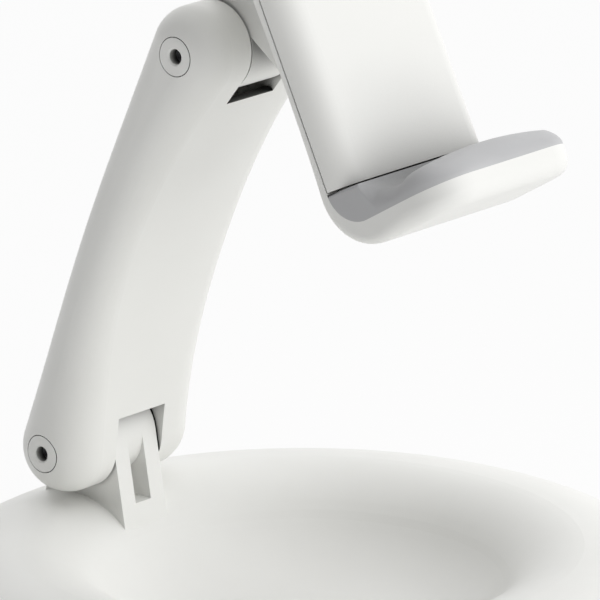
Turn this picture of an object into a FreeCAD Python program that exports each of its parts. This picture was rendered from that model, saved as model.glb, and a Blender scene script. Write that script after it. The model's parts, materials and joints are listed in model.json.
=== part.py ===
import FreeCAD, Part
import math
import os

# Foldable tablet holder: a round weighted base with a dish, an arm on a friction hinge, and a J-shaped
# holder on a second friction hinge. Millimetres, +Z up, front towards -Y, hinge axes along X.
# The origin is the middle of the foot pad's underside.

# Base
base_radius = 81.0
base_wall = 2.5
rim_width = 23.0
crest_height = 24.0
crown_radius = 36.0
shoulder_radius = 9.5
skirt_draft = 0.6
skirt_bottom = 1.0
dish_roll_radius = 20.0
dish_wall_slope = 50.0
dish_floor_height = 6.0
dish_radius = 26.0
bottom_cover_thickness = 2.0
bottom_cover_clearance = 0.15
foot_pad_margin = 15.0
foot_pad_thickness = 1.5
weight_margin = 15.0
weight_width = 19.0
weight_thickness = 5.0
boss_radius = 3.5
boss_edge_distance = 6.0
boss_count = 4
base_screw_radius = 1.4
base_screw_length = 8.0
base_screw_head_radius = 2.6
base_screw_head_height = 1.2
screw_hole_clearance = 0.1

# Hinges
knuckle_width = 13.4
lower_knuckle_radius = 8.5
upper_knuckle_radius = 9.5
rib_thickness = 4.3
rib_lean = 9.9
rib_web_drop = 12.9
washer_thickness = 0.5
washer_radius = 7.5
washer_clearance = 0.05
post_radius = 3.0
post_fit = 0.05
sleeve_radius = 4.5
sleeve_fit = 0.02
post_bore_depth = 14.0
post_screw_radius = 2.0
post_screw_length = 11.0
post_head_radius = 3.7
post_head_height = 2.6
post_tip_gap = 0.3
socket_flats = 3.0
socket_depth = 1.6
cap_radius = 4.0
cap_thickness = 2.4
cap_fit = 0.18
cap_hole_radius = 1.6
cap_chamfer = 0.35

# Arm
hinge_crest_offset = 2.4
hinge_rise = 12.2
arm_length = 99.7
arm_lean = 22.4
arm_width = 40.0
arm_lower_radius = 9.8
arm_upper_radius = 9.6
arm_front_radius = 160.0
arm_back_radius = 2400.0
arm_lower_edge_radius = 8.4
arm_middle_edge_radius = 5.8
arm_upper_edge_radius = 7.0
arm_side_flat = 0.05
arm_wall = 1.8
lower_slot_depth = 10.4
upper_slot_depth = 9.9
fork_web = 3.0
cover_width = 27.0
cover_end_margin = 20.0
cover_corner_radius = 5.0
cover_gap = 0.15
hook_length = 6.0
hook_reach = 1.0
hook_thickness = 1.2

# Holder
recline = 25.8
plate_width = 44.7
plate_offset = 25.55
plate_rise = 58.0
plate_corner_radius = 12.0
shell_thickness = 3.55
shell_edge_radius = 2.2
front_cover_height = 6.2
front_cover_crown = 1.0
front_cover_edge_radius = 5.9
front_cover_wall = 2.2
front_cover_foot = 37.3
front_cover_gap = 0.4
seam_groove = 0.35
outer_bend_radius = 12.65
seam_bend_radius = 7.3
lip_rise = 4.9
lip_reach = 29.6
lip_edge_radius = 3.4
lip_corner_radius = 9.4
pad_thickness = 4.6
pad_edge_radius = 3.2
pad_valley_radius = 7.0
neck_top = 14.0
neck_foot = 36.5
neck_inset = 7.9

X_AXIS = FreeCAD.Vector(1, 0, 0)
Z_AXIS = FreeCAD.Vector(0, 0, 1)
ORIGIN = FreeCAD.Vector(0, 0, 0)
touch_tolerance = 1e-6

crest_radius = base_radius - rim_width
boss_circle_radius = base_radius - base_wall - boss_edge_distance
foot_pad_radius = base_radius - foot_pad_margin
weight_outer_radius = base_radius - weight_margin
weight_inner_radius = weight_outer_radius - weight_width
pivot_back = crest_radius - hinge_crest_offset
pivot_height = crest_height + hinge_rise
slot_width = knuckle_width + 2 * (washer_thickness + washer_clearance)
lower_pivot = FreeCAD.Vector(0, pivot_back, pivot_height)
lean_angle = math.radians(arm_lean)
upper_pivot = lower_pivot + FreeCAD.Vector(
    0, -arm_length * math.sin(lean_angle), arm_length * math.cos(lean_angle))
bottom_cover_top = skirt_bottom + bottom_cover_thickness


def side_point(forward, up):
    """A point of a side profile in the plane X = 0, given by its reach to the front and its height."""
    return FreeCAD.Vector(0, -forward, up)


def radial_point(radius, up):
    """A point of a turned profile, given by its radius and height."""
    return FreeCAD.Vector(radius, 0, up)


def on_circle(centre, radius, angle):
    """The point of a circle at an angle in degrees, counted from the first coordinate to the second."""
    turn = math.radians(angle)
    return (centre[0] + radius * math.cos(turn), centre[1] + radius * math.sin(turn))


def line(place, start, end):
    return Part.LineSegment(place(*start), place(*end)).toShape()


def arc(place, centre, radius, start_angle, end_angle):
    middle_angle = (start_angle + end_angle) / 2
    points = [on_circle(centre, radius, angle) for angle in (start_angle, middle_angle, end_angle)]
    return Part.Arc(*[place(*point) for point in points]).toShape()


def polygon_face(place, points):
    return Part.Face(Part.makePolygon([place(*point) for point in points + points[:1]]))


def across(face, width):
    """Extrudes a side profile evenly to both sides of the middle plane."""
    face = face.copy()
    face.translate(X_AXIS * (-width / 2))
    return face.extrude(X_AXIS * width)


def block(x_range, forward_range, up_range):
    size = [high - low for low, high in (x_range, forward_range, up_range)]
    corner = FreeCAD.Vector(x_range[0], -forward_range[1], up_range[0])
    return Part.makeBox(*size, corner)


def rod(radius, start, end):
    """A cylinder on the X axis between two places along it."""
    return Part.makeCylinder(radius, end - start, X_AXIS * start, X_AXIS)


def in_arm(shape, up=0):
    """Moves a shape from a place along the arm, with the lower pivot at the arm's origin, to its place."""
    shape = shape.copy()
    shape.translate(Z_AXIS * up)
    shape.rotate(ORIGIN, X_AXIS, arm_lean)
    shape.translate(lower_pivot)
    return shape


def in_holder(shape):
    """Moves a shape from the holder's frame, with the upper pivot at its origin, to its place."""
    shape = shape.copy()
    shape.rotate(ORIGIN, X_AXIS, -recline)
    shape.translate(upper_pivot)
    return shape


def faces_at(shape, points):
    """The faces of a shape that pass through the given points."""
    vertices = [Part.Vertex(point) for point in points]
    return [
        face for face in shape.Faces
        if any(face.distToShape(vertex)[0] < touch_tolerance for vertex in vertices)
    ]


def outline_edges(faces):
    """The edges round a group of faces, without those between two of them."""
    edges = [edge for face in faces for edge in face.Edges]
    return [edge for edge in edges if sum(edge.isSame(other) for other in edges) == 1]


def fillet_between(body, rims, radius_at):
    """Rounds edges with a radius that changes evenly from one end of each edge to the other."""
    document = FreeCAD.newDocument("rounding")
    source = document.addObject("Part::Feature", "source")
    source.Shape = body
    rounded = document.addObject("Part::Fillet", "rounded")
    rounded.Base = source
    settings = []
    for index, edge in enumerate(body.Edges, 1):
        if any(edge.isSame(rim) for rim in rims):
            ends = [edge.valueAt(place) for place in (edge.FirstParameter, edge.LastParameter)]
            settings.append((index, radius_at(ends[0]), radius_at(ends[1])))
    rounded.Edges = settings
    document.recompute()
    shape = rounded.Shape.copy()
    FreeCAD.closeDocument(document.Name)
    return shape


# Base


def base_profile(inset):
    """The turned face under the base's top surface, moved in by inset, closed at the skirt's bottom."""
    shoulder = shoulder_radius
    span = (base_radius - shoulder - crest_radius) / (crown_radius - shoulder)
    crown_turn = math.degrees(math.asin(span))
    crown_centre = (crest_radius, crest_height - crown_radius)
    shoulder_centre = on_circle(crown_centre, crown_radius - shoulder, 90 - crown_turn)
    roll_centre = (crest_radius, crest_height - dish_roll_radius)
    roll_end = on_circle(roll_centre, dish_roll_radius - inset, 90 + dish_wall_slope)
    dish_centre_height = dish_floor_height + dish_radius
    dish_start_angle = 270 + dish_wall_slope
    wall_top = on_circle(roll_centre, dish_roll_radius, 90 + dish_wall_slope)
    wall_foot_height = on_circle((0, dish_centre_height), dish_radius, dish_start_angle)[1]
    wall_run = (wall_top[1] - wall_foot_height) / math.tan(math.radians(dish_wall_slope))
    wall_foot_reach = dish_radius * math.sin(math.radians(dish_wall_slope))
    dish_centre = (wall_top[0] - wall_run - wall_foot_reach, dish_centre_height)
    dish_start = on_circle(dish_centre, dish_radius + inset, dish_start_angle)
    floor_edge = on_circle(dish_centre, dish_radius + inset, 270)
    skirt_top = on_circle(shoulder_centre, shoulder - inset, 0)
    skirt_foot = (skirt_top[0] - (0 if inset else skirt_draft), skirt_bottom)
    edges = [
        line(radial_point, skirt_foot, skirt_top),
        arc(radial_point, shoulder_centre, shoulder - inset, 0, 90 - crown_turn),
        arc(radial_point, crown_centre, crown_radius - inset, 90 - crown_turn, 90),
        arc(radial_point, roll_centre, dish_roll_radius - inset, 90, 90 + dish_wall_slope),
        line(radial_point, roll_end, dish_start),
        arc(radial_point, dish_centre, dish_radius + inset, dish_start_angle, 270),
        line(radial_point, floor_edge, (0, floor_edge[1])),
        line(radial_point, (0, floor_edge[1]), (0, skirt_bottom)),
        line(radial_point, (0, skirt_bottom), skirt_foot),
    ]
    return Part.Face(Part.Wire(edges))


def base_turned(inset):
    return base_profile(inset).revolve(ORIGIN, Z_AXIS, 360)


def hinge_ribs(profile_face):
    """Two like ribs at the outer ends of a knuckle."""
    offset = (knuckle_width - rib_thickness) / 2
    ribs = []
    for side in (-1, 1):
        rib = across(profile_face, rib_thickness)
        rib.translate(X_AXIS * (side * offset))
        ribs.append(rib)
    return ribs


def base_boss_places():
    for index in range(boss_count):
        turn = math.radians(45 + 360 / boss_count * index)
        yield FreeCAD.Vector(boss_circle_radius * math.cos(turn), boss_circle_radius * math.sin(turn), 0)


def make_base_shell():
    outer = base_turned(0)
    hollow = base_turned(base_wall)
    lean = math.radians(rib_lean)
    tangent = (lower_knuckle_radius * math.cos(lean), lower_knuckle_radius * math.sin(lean))
    rib_foot_up = skirt_bottom - pivot_height
    foot_reach = tangent[0] + (tangent[1] - rib_foot_up) * math.tan(lean)
    rib_points = [tangent, (foot_reach, rib_foot_up), (-foot_reach, rib_foot_up), (-tangent[0], tangent[1])]
    rib_face = polygon_face(side_point, rib_points)
    half_width = knuckle_width / 2
    web_room = block((-half_width, half_width), (-foot_reach, foot_reach), (rib_foot_up, -rib_web_drop))
    web = across(rib_face, knuckle_width).common(web_room)
    knuckle = rod(lower_knuckle_radius, -half_width, half_width)
    lugs = [knuckle, web] + hinge_ribs(rib_face)
    for lug in lugs:
        lug.translate(lower_pivot)
    bosses = []
    for place in base_boss_places():
        foot = place + Z_AXIS * bottom_cover_top
        boss = Part.makeCylinder(boss_radius, crest_height - bottom_cover_top, foot)
        bosses.append(boss.common(hollow))
    shell = outer.fuse(lugs).cut(hollow).fuse(bosses)
    bore = rod(sleeve_radius + sleeve_fit, -knuckle_width, knuckle_width)
    bore.translate(lower_pivot)
    pilots = [
        Part.makeCylinder(base_screw_radius, base_screw_length, place + Z_AXIS * skirt_bottom)
        for place in base_boss_places()
    ]
    return shell.cut([bore] + pilots).removeSplitter()


def make_base_bottom_cover():
    radius = base_radius - base_wall - bottom_cover_clearance
    cover = Part.makeCylinder(radius, bottom_cover_thickness, Z_AXIS * skirt_bottom)
    recess = Part.makeCylinder(foot_pad_radius + bottom_cover_clearance, foot_pad_thickness)
    holes = []
    for place in base_boss_places():
        head = Part.makeCylinder(base_screw_head_radius + screw_hole_clearance, base_screw_head_height,
                                 place + Z_AXIS * skirt_bottom)
        shank = Part.makeCylinder(base_screw_radius + screw_hole_clearance, bottom_cover_thickness,
                                  place + Z_AXIS * skirt_bottom)
        holes += [head, shank]
    return cover.cut([recess] + holes)


def make_base_screws():
    screws = []
    for place in base_boss_places():
        foot = place + Z_AXIS * skirt_bottom
        head = Part.makeCylinder(base_screw_head_radius, base_screw_head_height, foot)
        shank = Part.makeCylinder(base_screw_radius, base_screw_length, foot)
        screws.append(head.fuse(shank).removeSplitter())
    return Part.makeCompound(screws)


def make_base_weight():
    ring = Part.makeCylinder(weight_outer_radius, weight_thickness, Z_AXIS * bottom_cover_top)
    return ring.cut(Part.makeCylinder(weight_inner_radius, weight_thickness, Z_AXIS * bottom_cover_top))


def make_foot_pad():
    return Part.makeCylinder(foot_pad_radius, foot_pad_thickness)


# Hinge hardware, made on the X axis at the pivot


def hex_socket(face_place, inward):
    corner = socket_flats / math.sqrt(3)
    points = [on_circle((0, 0), corner, 60 * index) for index in range(6)]
    socket = polygon_face(side_point, points).extrude(X_AXIS * (inward * socket_depth))
    socket.translate(X_AXIS * face_place)
    return socket


def head_seat():
    """The distance from the middle plane to the seat of a hinge head in the fork's ear."""
    return arm_width / 2 - cap_thickness - post_head_height


def make_pivot_post():
    seat = head_seat()
    head = rod(post_head_radius, -seat - post_head_height, -seat)
    shaft = rod(post_radius, -seat, seat - post_tip_gap)
    tip = seat - post_tip_gap
    bore = rod(post_screw_radius + post_fit, tip - post_bore_depth, tip)
    socket = hex_socket(-seat - post_head_height, 1)
    return head.fuse(shaft).cut([bore, socket]).removeSplitter()


def make_pivot_screw():
    seat = head_seat()
    head = rod(post_head_radius, seat, seat + post_head_height)
    shaft = rod(post_screw_radius, seat - post_screw_length, seat)
    return head.fuse(shaft).cut(hex_socket(seat + post_head_height, -1)).removeSplitter()


def make_friction_sleeve():
    half = knuckle_width / 2
    return rod(sleeve_radius, -half, half).cut(rod(post_radius + post_fit, -half, half))


def make_friction_washers():
    inner_face = slot_width / 2
    washers = []
    for side in (-1, 1):
        start, end = sorted((side * inner_face, side * (inner_face - washer_thickness)))
        washers.append(rod(washer_radius, start, end).cut(rod(post_radius + post_fit, start, end)))
    return Part.makeCompound(washers)


# Arm, made with the lower pivot at the origin and its length along Z


def tangent_centre(lower_distance, upper_distance):
    """The centre, in front of the arm, at given distances from the two pivots."""
    up = (arm_length ** 2 + lower_distance ** 2 - upper_distance ** 2) / (2 * arm_length)
    return (math.sqrt(lower_distance ** 2 - up ** 2), up)


def arm_front_centre():
    return tangent_centre(arm_front_radius + arm_lower_radius, arm_front_radius + arm_upper_radius)


def arm_back_centre():
    return tangent_centre(arm_back_radius - arm_lower_radius, arm_back_radius - arm_upper_radius)


def arm_front_reach(up):
    """The reach of the arm's hollow front face at a place along the arm."""
    centre = arm_front_centre()
    return centre[0] - math.sqrt(arm_front_radius ** 2 - (up - centre[1]) ** 2)


def arm_back_reach(up):
    """The reach of the arm's full back face at a place along the arm, which is negative."""
    centre = arm_back_centre()
    return centre[0] - math.sqrt(arm_back_radius ** 2 - (up - centre[1]) ** 2)


def toward(centre, target):
    return math.degrees(math.atan2(target[1] - centre[1], target[0] - centre[0]))


def arm_outline(inset):
    """The arm's side outline: round ends, a hollow front and a full back, the last two in halves."""
    lower, upper = (0, 0), (0, arm_length)
    front = arm_front_centre()
    back = arm_back_centre()
    lower_front, upper_front = toward(lower, front), toward(upper, front)
    lower_back, upper_back = toward(back, lower) % 360, toward(back, upper) % 360
    front_low, front_high = (lower_front + 180) % 360, (upper_front + 180) % 360
    front_middle = (front_low + front_high) / 2
    back_middle = (upper_back + lower_back) / 2
    edges = [
        arc(side_point, lower, arm_lower_radius - inset, lower_back, lower_front + 360),
        arc(side_point, front, arm_front_radius + inset, front_low, front_middle),
        arc(side_point, front, arm_front_radius + inset, front_middle, front_high),
        arc(side_point, upper, arm_upper_radius - inset, upper_front, upper_back),
        arc(side_point, back, arm_back_radius - inset, upper_back, back_middle),
        arc(side_point, back, arm_back_radius - inset, back_middle, lower_back),
    ]
    return Part.Face(Part.Wire(edges))


def arm_edge_limit(share):
    """The largest radius that the arm's thickness leaves room for, at a share of its length."""
    up = arm_length * share
    return (arm_front_reach(up) - arm_back_reach(up)) / 2 - arm_side_flat


def arm_edge_radius(point):
    """The radius of the rounded side edge: largest at the arm's round ends, and evenly less to mid-length."""
    middle = min(arm_middle_edge_radius, arm_edge_limit(1 / 2))
    if point.z < arm_length / 3:
        return min(arm_lower_edge_radius, 2 * arm_edge_limit(1 / 4) - middle)
    if point.z > arm_length * 2 / 3:
        return min(arm_upper_edge_radius, 2 * arm_edge_limit(3 / 4) - middle)
    return middle


def arm_solid(inset):
    half_width = arm_width / 2 - inset
    body = across(arm_outline(inset), 2 * half_width)
    sides = faces_at(body, [X_AXIS * half_width, X_AXIS * -half_width])
    return fillet_between(body, outline_edges(sides), lambda point: arm_edge_radius(point) - inset)


arm_body = arm_solid(0)
arm_inside = arm_solid(arm_wall)


def arm_depth_range():
    reach = 2 * (arm_lower_radius + arm_upper_radius)
    return (-reach, reach)


def arm_cover_prism(grow):
    """The prism through the arm's back, in the outline of its cover moved out by grow."""
    half_width = cover_width / 2 + grow
    ends = (cover_end_margin - grow, arm_length - cover_end_margin + grow)
    middle = arm_length / 2
    depth_middle = (arm_front_reach(middle) + arm_back_reach(middle)) / 2
    prism = block((-half_width, half_width), (arm_depth_range()[0], depth_middle), ends)
    corners = [edge for edge in prism.Edges if abs(edge.tangentAt(edge.FirstParameter).y) > 0.9]
    return prism.makeFillet(cover_corner_radius + grow, corners)


def make_arm_shell():
    half_slot = slot_width / 2
    depth = arm_depth_range()
    far = arm_length + 2 * arm_upper_radius
    lower_slot = block((-half_slot, half_slot), depth, (-2 * arm_lower_radius, lower_slot_depth))
    upper_slot = block((-half_slot, half_slot), depth, (arm_length - upper_slot_depth, far))
    wide = block((-arm_width, arm_width), depth,
                 (lower_slot_depth + fork_web, arm_length - upper_slot_depth - fork_web))
    passage = block((-half_slot, half_slot), depth, (0, arm_length))
    hollow = arm_inside.common(wide.fuse(passage))
    shell = arm_body.cut([lower_slot, upper_slot, hollow, arm_cover_prism(cover_gap)])
    seat = head_seat()
    cuts = []
    for up in (0, arm_length):
        bore = rod(post_radius + post_fit, -arm_width, arm_width)
        pockets = [rod(cap_radius + cap_fit, seat, arm_width), rod(cap_radius + cap_fit, -arm_width, -seat)]
        for cut in [bore] + pockets:
            cut.translate(Z_AXIS * up)
            cuts.append(cut)
    return shell.cut(cuts).removeSplitter()


def make_arm_back_cover():
    """The cover plate, cut from the arm's wall, with four snap hooks that reach under the shell."""
    plate = arm_body.cut(arm_inside).common(arm_cover_prism(0))
    hooks = []
    for up in (2 * cover_end_margin, arm_length - 2 * cover_end_margin):
        length = (up - hook_length / 2, up + hook_length / 2)
        outer = arm_back_reach(up)
        nose_start = outer + arm_wall + cover_gap
        nose_end = nose_start + hook_thickness
        for side in (-1, 1):
            edge = side * cover_width / 2
            root = edge - side * hook_thickness
            hooks.append(block(sorted((root, edge)), (outer + arm_wall / 2, nose_end), length))
            hooks.append(block(sorted((root, edge + side * hook_reach)), (nose_start, nose_end), length))
    return plate.fuse(hooks).removeSplitter()


def make_pivot_cap(side, up):
    """A plug with a centre hole, flush with the arm's rounded side face."""
    outer_face = arm_width / 2
    plug = rod(cap_radius, outer_face - cap_thickness, outer_face)
    hole = rod(cap_hole_radius, outer_face - cap_thickness, outer_face)
    chamfer = Part.makeCone(cap_hole_radius, cap_hole_radius + cap_chamfer, cap_chamfer,
                            X_AXIS * (outer_face - cap_chamfer), X_AXIS)
    cap = plug.cut([hole, chamfer])
    if side < 0:
        cap.rotate(ORIGIN, Z_AXIS, 180)
    cap.translate(Z_AXIS * up)
    return cap.common(arm_body)


# Holder, made with the upper pivot at the origin, its plate upright and facing -Y

seam_offset = plate_offset + shell_thickness
lip_tip = seam_offset + lip_reach
seam_bend_centre = (seam_offset + seam_bend_radius, -front_cover_foot)
outer_bend_centre = (plate_offset + outer_bend_radius, -front_cover_foot)


def rise_from(start, forward):
    """The point at a given reach on the line that leaves start at the lip's rise."""
    return (forward, start[1] + (forward - start[0]) * math.tan(math.radians(lip_rise)))


def plate_prism(inset):
    """The plate's front outline, with round top corners, through the holder's depth."""
    half_width = plate_width / 2 - inset
    low = -front_cover_foot - 2 * outer_bend_radius
    prism = block((-half_width, half_width), (-plate_offset, 2 * lip_tip), (low, plate_rise - inset))
    top_corners = [
        edge for edge in prism.Edges
        if abs(edge.tangentAt(edge.FirstParameter).y) > 0.9 and edge.CenterOfMass.z > 0
    ]
    return prism.makeFillet(plate_corner_radius - inset, top_corners)


def lip_prism():
    """The lip's plan outline, with round front corners, through the holder's height."""
    half_width = plate_width / 2
    prism = block((-half_width, half_width), (-plate_offset, lip_tip), (-2 * plate_rise, 2 * plate_rise))
    front_corners = [
        edge for edge in prism.Edges
        if abs(edge.tangentAt(edge.FirstParameter).z) > 0.9 and edge.CenterOfMass.y < 0
    ]
    return prism.makeFillet(lip_corner_radius, front_corners)


def make_back_plate():
    """The J-shaped wall of the back shell, from the plate's top round the bend to the lip's tip."""
    under_start = on_circle(outer_bend_centre, outer_bend_radius, 270 + lip_rise)
    seam_end = on_circle(seam_bend_centre, seam_bend_radius, 270 + lip_rise)
    under_tip = rise_from(under_start, lip_tip)
    seam_tip = rise_from(seam_end, lip_tip)
    edges = [
        line(side_point, (plate_offset, plate_rise), (plate_offset, -front_cover_foot)),
        arc(side_point, outer_bend_centre, outer_bend_radius, 180, 270 + lip_rise),
        line(side_point, under_start, under_tip),
        line(side_point, under_tip, seam_tip),
        line(side_point, seam_tip, seam_end),
        arc(side_point, seam_bend_centre, seam_bend_radius, 270 + lip_rise, 180),
        line(side_point, (seam_offset, -front_cover_foot), (seam_offset, plate_rise)),
        line(side_point, (seam_offset, plate_rise), (plate_offset, plate_rise)),
    ]
    wall = across(Part.Face(Part.Wire(edges)), plate_width)
    wall = wall.common(plate_prism(0)).common(lip_prism()).removeSplitter()
    bend_middle = on_circle(outer_bend_centre, outer_bend_radius, 225)
    under_middle = rise_from(under_start, (under_start[0] + lip_tip) / 2)
    outside = [side_point(*place) for place in ((plate_offset, 0), bend_middle, under_middle)]

    def edge_radius(point):
        return lip_edge_radius if -point.y > outer_bend_centre[0] else shell_edge_radius

    return fillet_between(wall, outline_edges(faces_at(wall, outside)), edge_radius)


def make_holder_back_shell():
    plate = make_back_plate()
    knuckle = rod(upper_knuckle_radius, -knuckle_width / 2, knuckle_width / 2)
    slope = math.atan2(neck_foot, plate_offset - neck_inset)
    lower_start = (neck_inset * math.sin(slope), neck_inset * math.cos(slope))
    neck_points = [
        (0, upper_knuckle_radius),
        (plate_offset + shell_thickness / 2, neck_top),
        (plate_offset + shell_thickness / 2, -neck_foot),
        lower_start,
        (0, 0),
    ]
    ribs = hinge_ribs(polygon_face(side_point, neck_points))
    bore = rod(sleeve_radius + sleeve_fit, -knuckle_width, knuckle_width)
    return plate.fuse([knuckle] + ribs).cut(bore).removeSplitter()


def front_cover_solid(inset):
    half_width = plate_width / 2
    side = seam_offset + front_cover_height
    crown = side + front_cover_crown
    foot = -front_cover_foot + front_cover_gap + inset
    corners = [FreeCAD.Vector(x, -forward, foot) for x, forward in (
        (-half_width, seam_offset), (-half_width, side - inset), (0, crown - inset),
        (half_width, side - inset), (half_width, seam_offset))]
    section = Part.Wire([
        Part.LineSegment(corners[0], corners[1]).toShape(),
        Part.Arc(*corners[1:4]).toShape(),
        Part.LineSegment(corners[3], corners[4]).toShape(),
        Part.LineSegment(corners[4], corners[0]).toShape(),
    ])
    slab = Part.Face(section).extrude(Z_AXIS * (plate_rise - foot + plate_corner_radius))
    slab = slab.common(plate_prism(inset))
    front = outline_edges(faces_at(slab, [side_point(crown - inset, 0)]))
    rims = [edge for edge in front if edge.CenterOfMass.z > foot + touch_tolerance]
    return slab.makeFillet(front_cover_edge_radius - inset, rims)


def make_holder_front_cover():
    """The hollow cover, set in by a fine groove along its seam with the back shell."""
    seam_layer = block((-plate_width, plate_width), (seam_offset, seam_offset + seam_groove),
                       (-2 * plate_rise, 2 * plate_rise))
    groove = seam_layer.cut(plate_prism(seam_groove))
    return front_cover_solid(0).cut([front_cover_solid(front_cover_wall), groove]).removeSplitter()


def make_lip_pad():
    seam_end = on_circle(seam_bend_centre, seam_bend_radius, 270 + lip_rise)
    seam_tip = rise_from(seam_end, lip_tip)
    top_tip = (seam_tip[0], seam_tip[1] + pad_thickness)
    wall_reach = seam_offset + front_cover_height + front_cover_crown
    top_edge = -front_cover_foot
    valley_line = rise_from(top_tip, wall_reach)
    rise = math.radians(lip_rise)
    valley_centre_up = valley_line[1] + pad_valley_radius / math.cos(rise)
    valley_centre_up += pad_valley_radius * math.tan(rise)
    valley_centre = (wall_reach + pad_valley_radius, valley_centre_up)
    valley_end = on_circle(valley_centre, pad_valley_radius, 270 + lip_rise)
    valley_turn = math.degrees(math.asin((valley_centre_up - top_edge) / pad_valley_radius))
    valley_start = on_circle(valley_centre, pad_valley_radius, 180 + valley_turn)
    edges = [
        arc(side_point, seam_bend_centre, seam_bend_radius, 180, 270 + lip_rise),
        line(side_point, seam_end, seam_tip),
        line(side_point, seam_tip, top_tip),
        line(side_point, top_tip, valley_end),
        arc(side_point, valley_centre, pad_valley_radius, 270 + lip_rise, 180 + valley_turn),
        line(side_point, valley_start, (seam_offset, top_edge)),
    ]
    pad = across(Part.Face(Part.Wire(edges)), plate_width).common(lip_prism()).removeSplitter()
    top_middle = rise_from(valley_end, (valley_end[0] + lip_tip) / 2)
    top = outline_edges(faces_at(pad, [side_point(*top_middle)]))
    rims = [edge for edge in top if -edge.CenterOfMass.y > valley_end[0] + touch_tolerance]
    return pad.makeFillet(pad_edge_radius, rims)


nodes = {
    "base_shell": make_base_shell(),
    "base_bottom_cover": make_base_bottom_cover(),
    "base_screws": make_base_screws(),
    "base_weight": make_base_weight(),
    "foot_pad": make_foot_pad(),
    "arm_shell": in_arm(make_arm_shell()),
    "arm_back_cover": in_arm(make_arm_back_cover()),
    "holder_back_shell": in_holder(make_holder_back_shell()),
    "holder_front_cover": in_holder(make_holder_front_cover()),
    "lip_pad": in_holder(make_lip_pad()),
}
for level, up in (("lower", 0), ("upper", arm_length)):
    nodes[level + "_pivot_post"] = in_arm(make_pivot_post(), up)
    nodes[level + "_pivot_screw"] = in_arm(make_pivot_screw(), up)
    nodes[level + "_friction_sleeve"] = in_arm(make_friction_sleeve(), up)
    nodes[level + "_friction_washers"] = in_arm(make_friction_washers(), up)
    nodes[level + "_cap_left"] = in_arm(make_pivot_cap(-1, up))
    nodes[level + "_cap_right"] = in_arm(make_pivot_cap(1, up))

os.makedirs("parts", exist_ok=True)
for name, shape in nodes.items():
    shape.exportStep("parts/" + name + ".step")
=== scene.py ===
import json
import math
import bmesh
import bpy
from mathutils import Matrix, Vector


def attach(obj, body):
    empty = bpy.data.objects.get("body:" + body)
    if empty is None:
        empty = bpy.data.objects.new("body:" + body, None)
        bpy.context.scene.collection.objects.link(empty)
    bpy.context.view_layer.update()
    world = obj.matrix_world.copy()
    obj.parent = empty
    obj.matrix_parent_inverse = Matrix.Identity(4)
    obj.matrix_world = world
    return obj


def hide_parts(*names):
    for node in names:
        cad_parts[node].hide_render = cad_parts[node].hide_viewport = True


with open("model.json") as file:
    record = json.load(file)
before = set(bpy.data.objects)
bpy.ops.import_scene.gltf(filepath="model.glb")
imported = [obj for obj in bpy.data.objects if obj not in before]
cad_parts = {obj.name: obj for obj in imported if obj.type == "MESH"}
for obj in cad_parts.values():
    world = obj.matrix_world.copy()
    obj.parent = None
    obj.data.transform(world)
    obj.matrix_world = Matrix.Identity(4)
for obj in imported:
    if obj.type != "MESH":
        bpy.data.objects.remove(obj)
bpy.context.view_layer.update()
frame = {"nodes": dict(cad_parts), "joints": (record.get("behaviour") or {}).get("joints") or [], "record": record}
cad_nodes = frame["nodes"]
joints = {joint["name"]: joint for joint in frame["joints"]}

MM = 0.001
RIGHT_ANGLE = math.pi / 2
DOWNWARD = math.radians(270)
TINY = 1e-6

# The photograph's view: its angles, its scale at the lower hinge and where that hinge lies in the picture
IMAGE_SIZE = 600
VIEW_AZIMUTH = math.radians(-49.6)
VIEW_ELEVATION = math.radians(16.4)
PIXELS_PER_METRE = 4720.0
LOWER_HINGE_PIXEL = (104.65, 432.45)
LENS_MM = 400.0
SENSOR_MM = 36.0

# Holder, in millimetres, as in the solids
RECLINE = math.radians(25.8)
SEAM_OFFSET = 29.1
PLATE_WIDTH = 44.7
FRONT_COVER_FOOT = 37.3
SEAM_BEND_RADIUS = 7.3
LIP_RISE = math.radians(4.9)
LIP_REACH = 29.6
LIP_CORNER_RADIUS = 9.4
HALF_WIDTH = PLATE_WIDTH / 2
LIP_TIP = SEAM_OFFSET + LIP_REACH
CORNER_START = LIP_TIP - LIP_CORNER_RADIUS

# Pad, in millimetres: it fills the solid's place, with a softer valley, an arched lip and a crown across it
PAD_THICKNESS = 4.6
PAD_VALLEY_START = 5.6
PAD_VALLEY_RADIUS = 8.5
PAD_RISE = math.radians(28)
PAD_TIP_DROP = 2.4
PAD_CROWN = 2.0
PAD_EDGE_RADIUS = 3.2
PAD_VALLEY_EDGE_RADIUS = 5.0
# The share of the edge radius that is left at the seam, and the most that an edge takes of the pad's thickness
PAD_SEAM_EDGE_SHARE = 0.25
PAD_EDGE_LIMIT = 0.8

# Steps of the pad's grid: along its section, then across it
BEND_STEPS = 24
VALLEY_STEPS = 20
LIP_STEPS = 8
CORNER_STEPS = 24
EDGE_STEPS = 10
MIDDLE_STEPS = 12

SMOOTH_ANGLE = math.radians(28)

# Part of a noise's range that goes from one end of a colour or number to the other
NOISE_LOW = 0.3
NOISE_HIGH = 0.7

# Half widths, in metres, of the arm's slots, of the barrels' round faces and of more than the whole object
SLOT_HALF_WIDTH = 0.0073
BARREL_HALF_WIDTH = 0.00665
WHOLE_WIDTH = 0.2

# Floor and light, in metres, radians and watts
FLOOR_SIZE = 6.0
FLOOR_GLOW = 0.84
SKY_AZIMUTH = 1.35
SKY_ELEVATION = 0.45
SKY_STRENGTH = 1.14
SKY_FADE = (-0.33, 0.13)
KEY_PLACE = (0.2, -1.25, 0.4)
KEY_AIM = (0, 0, 0.08)
KEY_SIZE = 0.9
KEY_POWER = 3.6

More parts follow.
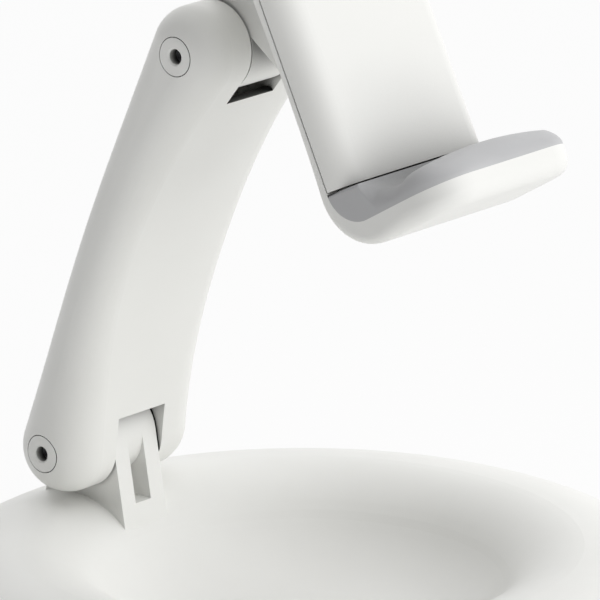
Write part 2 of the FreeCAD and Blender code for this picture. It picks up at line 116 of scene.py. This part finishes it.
lower_pivot = Vector(joints["arm_fold"]["pos_m"])
upper_pivot = Vector(joints["holder_tilt"]["pos_m"])
holder_place = Matrix.Translation(upper_pivot) @ Matrix.Rotation(-RECLINE, 4, "X")


# Materials


class MaterialNodes:
    """A material's nodes, with short calls to add and link them."""

    def __init__(self, name):
        self.material = bpy.data.materials.new(name)
        self.material.use_nodes = True
        self.tree = self.material.node_tree
        self.shader = self.tree.nodes["Principled BSDF"]
        self.coordinates = self.add("ShaderNodeTexCoord").outputs["Object"]

    def add(self, kind, **inputs):
        node = self.tree.nodes.new(kind)
        for key, value in inputs.items():
            node.inputs[key.replace("_", " ")].default_value = value
        return node

    def link(self, source, target):
        self.tree.links.new(source, target)

    def feed(self, source, name):
        """Links an output to an input of the material's shader."""
        self.link(source, self.shader.inputs[name])

    def set(self, **values):
        for key, value in values.items():
            self.shader.inputs[key.replace("_", " ")].default_value = value

    def calculate(self, operation, *values):
        """The result of a maths node. Each value is a number or an output."""
        node = self.add("ShaderNodeMath")
        node.operation = operation
        for target, value in zip(node.inputs, values):
            if isinstance(value, float):
                target.default_value = value
            else:
                self.link(value, target)
        return node.outputs["Value"]

    def noise(self, scale, detail=2.0):
        node = self.add("ShaderNodeTexNoise", Scale=scale, Detail=detail)
        self.link(self.coordinates, node.inputs["Vector"])
        return node.outputs["Fac"]

    def between(self, factor, low, high):
        """A number that goes from low to high with a noise factor."""
        node = self.add("ShaderNodeMapRange", From_Min=NOISE_LOW, From_Max=NOISE_HIGH, To_Min=low, To_Max=high)
        self.link(factor, node.inputs["Value"])
        return node.outputs["Result"]

    def colour_between(self, factor, low, high):
        """A colour that goes from low to high with a noise factor."""
        node = self.add("ShaderNodeValToRGB")
        for element, place, colour in zip(node.color_ramp.elements, (NOISE_LOW, NOISE_HIGH), (low, high)):
            element.position = place
            element.color = (*colour, 1)
        self.link(factor, node.inputs["Fac"])
        return node.outputs["Color"]

    def painted_shade_in_hollows(self, colour, half_width, reach, shut, clear, darkest=0.01):
        """Painted shade: a colour that darkens, by the ambient occlusion factor, where, near the middle plane,
        only a narrow opening to the outside is left.
        """
        place = self.add("ShaderNodeSeparateXYZ")
        self.link(self.coordinates, place.inputs["Vector"])
        outside = self.calculate("GREATER_THAN", self.calculate("ABSOLUTE", place.outputs["X"]), half_width)
        # The ambient occlusion factor is turned into painted shade on the base colour
        open_share = self.add("ShaderNodeAmbientOcclusion", Distance=reach)
        shade = self.add("ShaderNodeMapRange", From_Min=shut, From_Max=clear, To_Min=darkest, To_Max=1.0)
        self.link(open_share.outputs["AO"], shade.inputs["Value"])
        mix = self.add("ShaderNodeVectorMath")
        mix.operation = "SCALE"
        self.link(colour, mix.inputs[0])
        self.link(self.calculate("MAXIMUM", shade.outputs["Result"], outside), mix.inputs["Scale"])
        return mix.outputs["Vector"]

    def grain(self, scale, strength, depth, detail=2.0):
        node = self.add("ShaderNodeBump", Strength=strength, Distance=depth)
        self.link(self.noise(scale, detail), node.inputs["Height"])
        self.feed(node.outputs["Normal"], "Normal")


def surface(name, tint_scale, tints, gloss_scale, roughness, grain=None, painted_shade=None, **settings):
    """A material whose tint and roughness vary with noise, with a grain and painted shade in its hollows where
    they are given.
    """
    nodes = MaterialNodes(name)
    colour = nodes.colour_between(nodes.noise(tint_scale), *tints)
    if painted_shade:
        colour = nodes.painted_shade_in_hollows(colour, **painted_shade)
    nodes.feed(colour, "Base Color")
    nodes.feed(nodes.between(nodes.noise(gloss_scale), *roughness), "Roughness")
    if grain:
        nodes.grain(**grain)
    nodes.set(**settings)
    return nodes.material


# Satin moulded plastic: an almost even warm white
WHITE_PLASTIC = dict(
    tint_scale=30.0, tints=((0.82, 0.82, 0.795), (0.845, 0.845, 0.82)),
    gloss_scale=220.0, roughness=(0.4, 0.48),
    grain=dict(scale=2600.0, strength=0.05, depth=0.0001))

# Painted shade on white plastic, darkening its colour by ambient occlusion: at the plate's foot, in the arm's
# slots, on the holder's barrel, in the caps' holes
SHELTERED = dict(half_width=WHOLE_WIDTH, reach=0.03, shut=0.4, clear=0.95, darkest=0.5)
SLOTTED = dict(half_width=SLOT_HALF_WIDTH, reach=0.012, shut=0.34, clear=0.56)
NESTLED = dict(half_width=BARREL_HALF_WIDTH, reach=0.02, shut=0.4, clear=0.9, darkest=0.4)
BORED = dict(half_width=WHOLE_WIDTH, reach=0.003, shut=0.45, clear=0.85)

materials = {
    "white_shell": surface("white_plastic", **WHITE_PLASTIC),
    "grey_silicone": surface(
        "grey_silicone",
        tint_scale=60.0, tints=((0.48, 0.482, 0.49), (0.52, 0.522, 0.53)),
        gloss_scale=400.0, roughness=(0.55, 0.66),
        grain=dict(scale=3200.0, strength=0.08, depth=0.0001),
        # Painted shade in the pad's valley and under the front cover's foot, from ambient occlusion
        painted_shade=dict(half_width=WHOLE_WIDTH, reach=0.02, shut=0.6, clear=0.97, darkest=0.12),
        Sheen_Weight=0.15, Sheen_Roughness=0.4),
    "steel": surface(
        "steel",
        tint_scale=500.0, tints=((0.42, 0.42, 0.43), (0.5, 0.5, 0.51)),
        gloss_scale=1500.0, roughness=(0.28, 0.42),
        Metallic=1.0),
    "friction_polymer": surface(
        "dark_polymer",
        tint_scale=300.0, tints=((0.02, 0.02, 0.022), (0.035, 0.035, 0.037)),
        gloss_scale=900.0, roughness=(0.4, 0.55)),
    "foot_rubber": surface(
        "foot_rubber",
        tint_scale=120.0, tints=((0.028, 0.028, 0.03), (0.045, 0.045, 0.048)),
        gloss_scale=700.0, roughness=(0.7, 0.85),
        grain=dict(scale=1800.0, strength=0.2, depth=0.0002)),
    "weight_iron": surface(
        "cast_iron",
        tint_scale=400.0, tints=((0.06, 0.06, 0.065), (0.11, 0.11, 0.11)),
        gloss_scale=800.0, roughness=(0.5, 0.7),
        grain=dict(scale=1200.0, strength=0.3, depth=0.0003, detail=4.0),
        Metallic=0.8),
}


def dress(mesh, slot):
    """Gives a mesh its material, and smooth shading that keeps its real edges sharp."""
    mesh.materials.clear()
    mesh.materials.append(materials[slot])
    mesh.shade_smooth()
    mesh.set_sharp_from_angle(angle=SMOOTH_ANGLE)


def dress_white(painted_shade, name, *nodes):
    """Gives nodes a white plastic of their own, with painted shade in their hollows."""
    material = surface(name, painted_shade=painted_shade, **WHITE_PLASTIC)
    for node in nodes:
        cad_nodes[node].data.materials[0] = material


for subpart in frame["record"]["subparts"]:
    dress(cad_nodes[subpart["node"]].data, subpart["material_slot"])

# White parts whose colour carries painted shade from ambient occlusion
dress_white(SHELTERED, "white_plastic_painted_shade_foot", "holder_front_cover")
dress_white(SLOTTED, "white_plastic_painted_shade_slots", "arm_shell")
dress_white(NESTLED, "white_plastic_painted_shade_barrel", "holder_back_shell")
dress_white(BORED, "white_plastic_painted_shade_holes", "lower_cap_left", "lower_cap_right", "upper_cap_left", "upper_cap_right")


# Lip pad, in the holder's own frame: x across, forward from the upper hinge, and up


def on_circle(centre, radius, turn):
    return (centre[0] + radius * math.cos(turn), centre[1] + radius * math.sin(turn))


def low_on_circle(centre, radius, forward):
    """The height of a circle's lower half."""
    return centre[1] - math.sqrt(max(radius ** 2 - (forward - centre[0]) ** 2, 0))


def height_on_rise(start, forward):
    """The height of the line that leaves start at the lip's rise."""
    return start[1] + (forward - start[0]) * math.tan(LIP_RISE)


def evenly(start, end, steps):
    return [start + (end - start) * step / steps for step in range(steps + 1)]


def side_reach(forward):
    """The lip's half width, which its round corners narrow."""
    past = max(forward - CORNER_START, 0)
    return HALF_WIDTH - LIP_CORNER_RADIUS + math.sqrt(max(LIP_CORNER_RADIUS ** 2 - past ** 2, 0))


def edge_distance(x, forward):
    """The distance in plan from a point to the lip's sides, round corners and front."""
    aside = abs(x) - HALF_WIDTH + LIP_CORNER_RADIUS
    past = forward - CORNER_START
    if aside > 0 and past > 0:
        return LIP_CORNER_RADIUS - math.hypot(aside, past)
    return LIP_CORNER_RADIUS - max(aside, past)


class PadSection:
    """The pad's section: a foot that follows the J's bend, and above it a valley and an arched lip."""

    def __init__(self):
        self.bend_centre = (SEAM_OFFSET + SEAM_BEND_RADIUS, -FRONT_COVER_FOOT)
        self.bend_turns = (math.pi, DOWNWARD + LIP_RISE)
        self.bend_end = on_circle(self.bend_centre, SEAM_BEND_RADIUS, self.bend_turns[1])
        top_tip = (LIP_TIP, height_on_rise(self.bend_end, LIP_TIP) + PAD_THICKNESS)
        wall_reach = SEAM_OFFSET + PAD_VALLEY_START
        valley_up = height_on_rise(top_tip, wall_reach)
        valley_up += PAD_VALLEY_RADIUS / math.cos(LIP_RISE) + PAD_VALLEY_RADIUS * math.tan(LIP_RISE)
        self.valley_centre = (wall_reach + PAD_VALLEY_RADIUS, valley_up)
        start_turn = math.pi + math.asin((valley_up + FRONT_COVER_FOOT) / PAD_VALLEY_RADIUS)
        self.valley_turns = (start_turn, DOWNWARD + PAD_RISE)
        self.valley_start, self.valley_end = [
            on_circle(self.valley_centre, PAD_VALLEY_RADIUS, turn) for turn in self.valley_turns]
        arch_length = LIP_TIP - self.valley_end[0]
        arch_rise = top_tip[1] - PAD_TIP_DROP - self.valley_end[1]
        self.arch_bend = (arch_length * math.tan(PAD_RISE) - arch_rise) / arch_length ** 2

    def top(self, forward):
        if forward <= self.valley_start[0]:
            return -FRONT_COVER_FOOT
        if forward <= self.valley_end[0]:
            return low_on_circle(self.valley_centre, PAD_VALLEY_RADIUS, forward)
        past = forward - self.valley_end[0]
        return self.valley_end[1] + past * math.tan(PAD_RISE) - self.arch_bend * past ** 2

    def foot(self, forward):
        if forward <= self.bend_end[0]:
            return low_on_circle(self.bend_centre, SEAM_BEND_RADIUS, forward)
        return height_on_rise(self.bend_end, forward)

    def through_valley(self, forward):
        """The share of the way from the valley's start to its end."""
        share = (forward - self.valley_start[0]) / (self.valley_end[0] - self.valley_start[0])
        return min(max(share, 0), 1)

    def places(self):
        """The distances forward at which the section is sampled."""
        places = set()
        for turn in evenly(*self.bend_turns, BEND_STEPS):
            places.add(on_circle(self.bend_centre, SEAM_BEND_RADIUS, turn)[0])
        for turn in evenly(*self.valley_turns, VALLEY_STEPS):
            places.add(on_circle(self.valley_centre, PAD_VALLEY_RADIUS, turn)[0])
        places.update(evenly(self.valley_end[0], CORNER_START, LIP_STEPS))
        for turn in evenly(0, RIGHT_ANGLE, CORNER_STEPS):
            places.add(CORNER_START + LIP_CORNER_RADIUS * math.sin(turn))
        return sorted(places)


def pad_row(section, forward):
    """Points across the pad: on its crowned top with rounded edges, and on its foot."""
    top, foot = section.top(forward), section.foot(forward)
    ease = section.through_valley(forward)
    rim = PAD_EDGE_RADIUS * (PAD_SEAM_EDGE_SHARE + (1 - PAD_SEAM_EDGE_SHARE) * ease)
    rim += (PAD_VALLEY_EDGE_RADIUS - rim) * math.sin(math.pi * ease)
    rim = min(rim, PAD_EDGE_LIMIT * (top - foot)) + TINY
    reach = side_reach(forward)
    near_edge = [reach - rim * (1 - math.cos(turn)) for turn in evenly(0, RIGHT_ANGLE, EDGE_STEPS)]
    middle = evenly(-near_edge[-1], near_edge[-1], MIDDLE_STEPS)[1:-1]
    across = [-x for x in near_edge] + middle + near_edge[::-1]
    heights = []
    for x in across:
        crowned = top - PAD_CROWN * ease * (x / HALF_WIDTH) ** 2
        drop = min(rim, PAD_EDGE_LIMIT * (crowned - foot))
        inward = max(1 - edge_distance(x, forward) / rim, 0)
        heights.append(crowned - drop + drop * math.sqrt(max(1 - inward ** 2, 0)))
    return [(x, -forward, up) for x, up in zip(across, heights)], [(x, -forward, foot) for x in across]


def skin(rows):
    """A closed mesh between two grids: rows of (top points, foot points)."""
    mesh = bmesh.new()
    tops = [[mesh.verts.new(Vector(point) * MM) for point in top] for top, foot in rows]
    feet = [[mesh.verts.new(Vector(point) * MM) for point in foot] for top, foot in rows]
    for grid in (tops, feet):
        for row, following in zip(grid, grid[1:]):
            for index in range(len(row) - 1):
                mesh.faces.new((row[index], row[index + 1], following[index + 1], following[index]))
    borders = []
    for grid in (tops, feet):
        around = grid[0] + [row[-1] for row in grid[1:-1]] + grid[-1][::-1]
        borders.append(around + [row[0] for row in grid[-2:0:-1]])
    for index in range(len(borders[0])):
        following = (index + 1) % len(borders[0])
        mesh.faces.new((borders[0][index], borders[0][following], borders[1][following], borders[1][index]))
    bmesh.ops.remove_doubles(mesh, verts=mesh.verts, dist=TINY)
    bmesh.ops.recalc_face_normals(mesh, faces=mesh.faces)
    return mesh


def add_mesh_object(name, mesh):
    """Turns a bmesh into an object of the scene."""
    data = bpy.data.meshes.new(name)
    mesh.to_mesh(data)
    mesh.free()
    added = bpy.data.objects.new(name, data)
    bpy.context.scene.collection.objects.link(added)
    return added


def add_piece(name, mesh, slot, body, *replaced):
    """Makes a finished piece of a mesh, in place of CAD nodes of one body."""
    piece = add_mesh_object(name, mesh)
    dress(piece.data, slot)
    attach(piece, body)
    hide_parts(*replaced)
    return piece


def lip_pad():
    """The silicone liner: a valley at the front cover's foot, and a lip with a softly rounded rim."""
    section = PadSection()
    mesh = skin([pad_row(section, forward) for forward in section.places()])
    mesh.transform(holder_place)
    return add_piece("lip_pad_liner", mesh, "grey_silicone", "holder", "lip_pad")


pad = lip_pad()


# Stage


def direction(azimuth, elevation):
    """A unit vector from the object: azimuth 0 is its front, and a positive one is to its right."""
    level = math.cos(elevation)
    return Vector((math.sin(azimuth) * level, -math.cos(azimuth) * level, math.sin(elevation)))


def stage_floor():
    """A pale floor, lit from below like a light table, that keeps a weak shadow."""
    mesh = bmesh.new()
    bmesh.ops.create_grid(mesh, x_segments=1, y_segments=1, size=FLOOR_SIZE)
    floor = add_mesh_object("floor", mesh)
    nodes = MaterialNodes("floor")
    nodes.set(Base_Color=(0.9, 0.9, 0.9, 1), Roughness=0.9, Specular_IOR_Level=0.0)
    glow = nodes.add("ShaderNodeEmission", Color=(1, 1, 1, 1), Strength=1.0)
    mix = nodes.add("ShaderNodeMixShader", Fac=FLOOR_GLOW)
    nodes.link(nodes.shader.outputs["BSDF"], mix.inputs[1])
    nodes.link(glow.outputs["Emission"], mix.inputs[2])
    nodes.link(mix.outputs["Shader"], nodes.tree.nodes["Material Output"].inputs["Surface"])
    floor.data.materials.append(nodes.material)


def half_dome():
    """A studio sky that is bright on the half towards one side, and fades to dark on the other half."""
    world = bpy.data.worlds.new("studio")
    world.use_nodes = True
    tree = world.node_tree
    aside = tree.nodes.new("ShaderNodeVectorMath")
    aside.operation = "DOT_PRODUCT"
    aside.inputs[1].default_value = direction(SKY_AZIMUTH, SKY_ELEVATION)
    tree.links.new(tree.nodes.new("ShaderNodeTexCoord").outputs["Generated"], aside.inputs[0])
    share = tree.nodes.new("ShaderNodeMapRange")
    share.interpolation_type = "SMOOTHSTEP"
    share.inputs["From Min"].default_value, share.inputs["From Max"].default_value = SKY_FADE
    share.inputs["To Min"].default_value, share.inputs["To Max"].default_value = 0.0, SKY_STRENGTH
    tree.links.new(aside.outputs["Value"], share.inputs["Value"])
    background = tree.nodes["Background"]
    background.inputs["Color"].default_value = (1, 1, 1, 1)
    tree.links.new(share.outputs["Result"], background.inputs["Strength"])
    bpy.context.scene.world = world


def key_light():
    """A weak, broad light from the front, for the rounded edges."""
    lamp = bpy.data.lights.new("key", "AREA")
    lamp.shape = "DISK"
    lamp.size = KEY_SIZE
    lamp.energy = KEY_POWER
    light = bpy.data.objects.new("key", lamp)
    light.location = KEY_PLACE
    light.rotation_euler = (Vector(KEY_PLACE) - Vector(KEY_AIM)).to_track_quat("Z", "Y").to_euler()
    bpy.context.scene.collection.objects.link(light)


def photo_camera():
    """A long lens at the photograph's angles, placed so that the lower hinge lies where the photograph has it."""
    focal_pixels = LENS_MM / SENSOR_MM * IMAGE_SIZE
    distance = focal_pixels / PIXELS_PER_METRE
    towards = direction(VIEW_AZIMUTH, VIEW_ELEVATION)
    turn = towards.to_track_quat("Z", "Y")
    right = turn @ Vector((1, 0, 0))
    up = turn @ Vector((0, 1, 0))
    middle = IMAGE_SIZE / 2
    aim = lower_pivot + right * ((middle - LOWER_HINGE_PIXEL[0]) / PIXELS_PER_METRE)
    aim += up * ((LOWER_HINGE_PIXEL[1] - middle) / PIXELS_PER_METRE)
    lens = bpy.data.cameras.new("camera")
    lens.lens = LENS_MM
    lens.sensor_width = SENSOR_MM
    camera = bpy.data.objects.new("camera", lens)
    camera.location = aim + towards * distance
    camera.rotation_euler = turn.to_euler()
    bpy.context.scene.collection.objects.link(camera)
    bpy.context.scene.camera = camera


stage_floor()
half_dome()
key_light()
photo_camera()
bpy.context.scene.view_settings.view_transform = "Standard"
